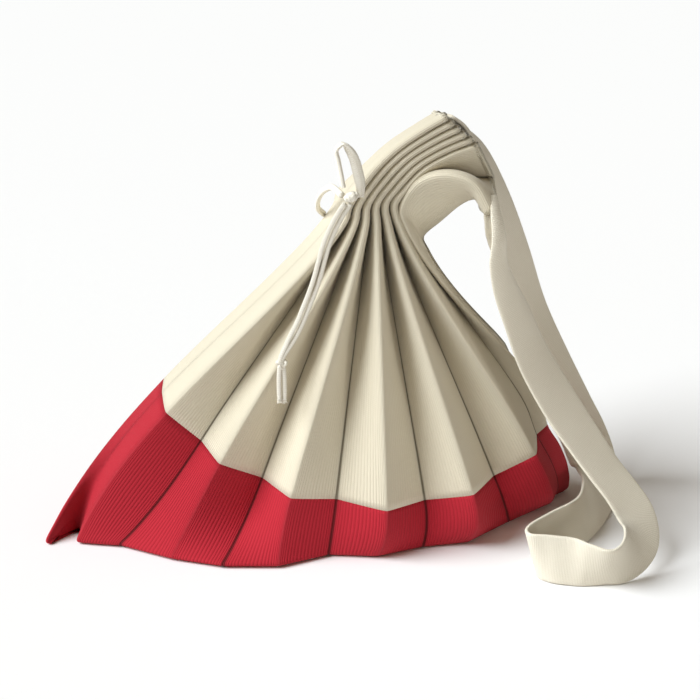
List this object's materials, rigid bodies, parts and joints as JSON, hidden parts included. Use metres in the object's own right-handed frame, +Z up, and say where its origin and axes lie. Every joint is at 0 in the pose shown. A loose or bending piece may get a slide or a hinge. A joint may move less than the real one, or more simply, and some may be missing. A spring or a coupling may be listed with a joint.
{
  "type": "accordion bag",
  "caption": "Pleated rib knit bag standing like a fan, cream above a red base band, its neck drawn in by a corded bow, with one long flat strap.",
  "frame": {"origin": "on the floor, under the middle of the base's long axis", "axes": "+X to the right along the base, towards the side the neck flops over, +Y away from the pleats' front, +Z up"},
  "size_m": [0.4379, 0.2464, 0.3156],
  "materials": {
    "cream_knit": "matte rib knit",
    "red_knit": "matte rib knit",
    "strap_webbing": "matte flat weave",
    "cord_knit": "matte soft cord"
  },
  "bodies": {
    "root": {"pleated_body": "cream_knit", "base_band": "red_knit", "strap": "strap_webbing", "drawstring_loop": "cord_knit", "drawstring_small_loop": "cord_knit", "drawstring_tail_left": "cord_knit", "drawstring_tail_right": "cord_knit", "drawstring_tip_left": "cord_knit", "drawstring_tip_right": "cord_knit", "drawstring_bow_knot": "cord_knit", "drawstring_end_knot": "cord_knit"}
  },
  "joints": []
}
